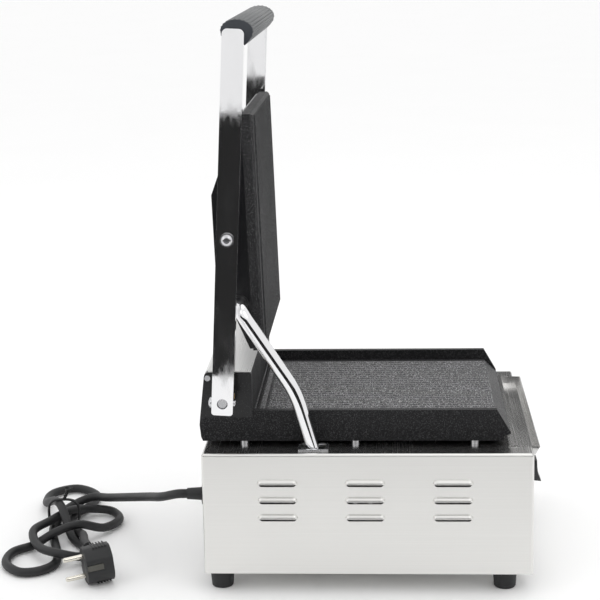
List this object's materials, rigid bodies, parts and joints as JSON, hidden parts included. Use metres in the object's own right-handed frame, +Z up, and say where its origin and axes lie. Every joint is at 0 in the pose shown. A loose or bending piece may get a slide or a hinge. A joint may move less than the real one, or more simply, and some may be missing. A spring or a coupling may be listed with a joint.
{
  "type": "panini press",
  "caption": "Contact grill with a ribbed lower plate in a sheet-steel base and a hinged upper plate on two chrome arms with a grip handle.",
  "frame": {"origin": "on the table, under the centre of the housing", "axes": "+Z up, -Y to the front where the drip tray and the controls are, +X to the right seen from the front"},
  "size_m": [0.299, 0.54, 0.5425],
  "materials": {
    "brushed_stainless": "brushed stainless sheet",
    "polished_cover": "fine satin stainless",
    "chrome": "polished chrome plate",
    "cast_iron": "seasoned cast iron with a rough sparkling grain",
    "black_enamel": "black enamel, lightly textured",
    "zinc_hardware": "bright zinc and steel hardware",
    "spring_steel": "oiled spring steel",
    "element_steel": "heat-tinted steel sheath",
    "bronze": "sintered bronze",
    "copper": "copper capillary",
    "grip_rubber": "ribbed dark grey plastic",
    "black_plastic": "moulded black plastic",
    "black_rubber": "matte black rubber",
    "ceramic": "pale ceramic and moulded plastic",
    "nickel": "nickel-plated brass",
    "green_lens": "green lens",
    "amber_lens": "amber lens"
  },
  "bodies": {
    "base": {"left_side_panel": "brushed_stainless", "right_side_panel": "brushed_stainless", "rear_panel": "brushed_stainless", "front_panel": "brushed_stainless", "top_deck": "brushed_stainless", "bottom_plate": "brushed_stainless", "feet": "black_rubber", "foot_screws": "zinc_hardware", "lower_plate": "cast_iron", "plate_studs": "zinc_hardware", "left_hinge_cheek": "black_enamel", "right_hinge_cheek": "black_enamel", "hinge_cover": "polished_cover", "hinge_cover_screws": "zinc_hardware", "hinge_bushes": "bronze", "hinge_springs": "spring_steel", "conduit_guide": "zinc_hardware", "heat_shield": "zinc_hardware", "lower_element": "element_steel", "lower_clamp": "zinc_hardware", "thermostat_body": "ceramic", "thermostat_bulb": "copper", "terminal_block": "ceramic", "switch_body": "black_plastic", "dial_ring": "zinc_hardware", "lamp_bezels": "zinc_hardware", "power_lamp": "green_lens", "heat_lamp": "amber_lens", "cord_gland": "black_rubber", "gland_nut": "black_plastic", "power_cord": "black_rubber", "cord_tie": "black_rubber", "plug_body": "black_rubber", "plug_pins": "nickel", "earth_clips": "nickel"},
    "arm": {"hinge_shaft": "zinc_hardware", "shaft_collars": "zinc_hardware", "left_arm": "chrome", "right_arm": "chrome", "handle_crossbar": "zinc_hardware", "grip": "grip_rubber", "clamp_bolts": "zinc_hardware"},
    "head": {"upper_plate": "cast_iron", "head_cover": "black_enamel", "upper_element": "element_steel", "upper_clamp": "zinc_hardware", "head_pivot_bolts": "zinc_hardware", "pivot_spacers": "zinc_hardware", "pivot_washers": "zinc_hardware", "head_cover_screws": "zinc_hardware", "conduit_bush": "black_plastic"},
    "conduit": {"conduit_tube": "chrome"},
    "tray": {"drip_tray": "brushed_stainless"},
    "knob": {"thermostat_knob": "black_plastic", "thermostat_spindle": "zinc_hardware"},
    "switch_rocker": {"rocker": "black_plastic"}
  },
  "joints": [
    {"name": "arm_hinge", "type": "hinge", "parent": "base", "child": "arm", "pos_m": [0, 0.1339, 0.1878], "axis": [1, 0, 0], "range_deg": [0, 85.07]},
    {"name": "head_tilt", "type": "hinge", "parent": "arm", "child": "head", "pos_m": [0, 0.1252, 0.34343], "axis": [1, 0, 0], "range_deg": [0, 6.64]},
    {"name": "conduit_swivel", "type": "hinge", "parent": "head", "child": "conduit", "pos_m": [0, 0.11849, 0.27549], "axis": [1, 0, 0], "range_deg": [-50.5, 0]},
    {"name": "drip_tray_slide", "type": "slide", "parent": "base", "child": "tray", "axis": [0, -1, 0], "range_m": [0, 0.045]},
    {"name": "thermostat_turn", "type": "hinge", "parent": "base", "child": "knob", "pos_m": [0.085, -0.1655, 0.08], "axis": [0, -1, 0], "range_deg": [-270, 0]},
    {"name": "rocker_tilt", "type": "hinge", "parent": "base", "child": "switch_rocker", "pos_m": [-0.105, -0.1555, 0.112], "axis": [1, 0, 0], "range_deg": [0, 18]}
  ],
  "couplings": [
    {"joint": "head_tilt", "follows": "arm_hinge", "ratio": 0.0769},
    {"joint": "conduit_swivel", "follows": "arm_hinge", "ratio": -0.5869}
  ]
}
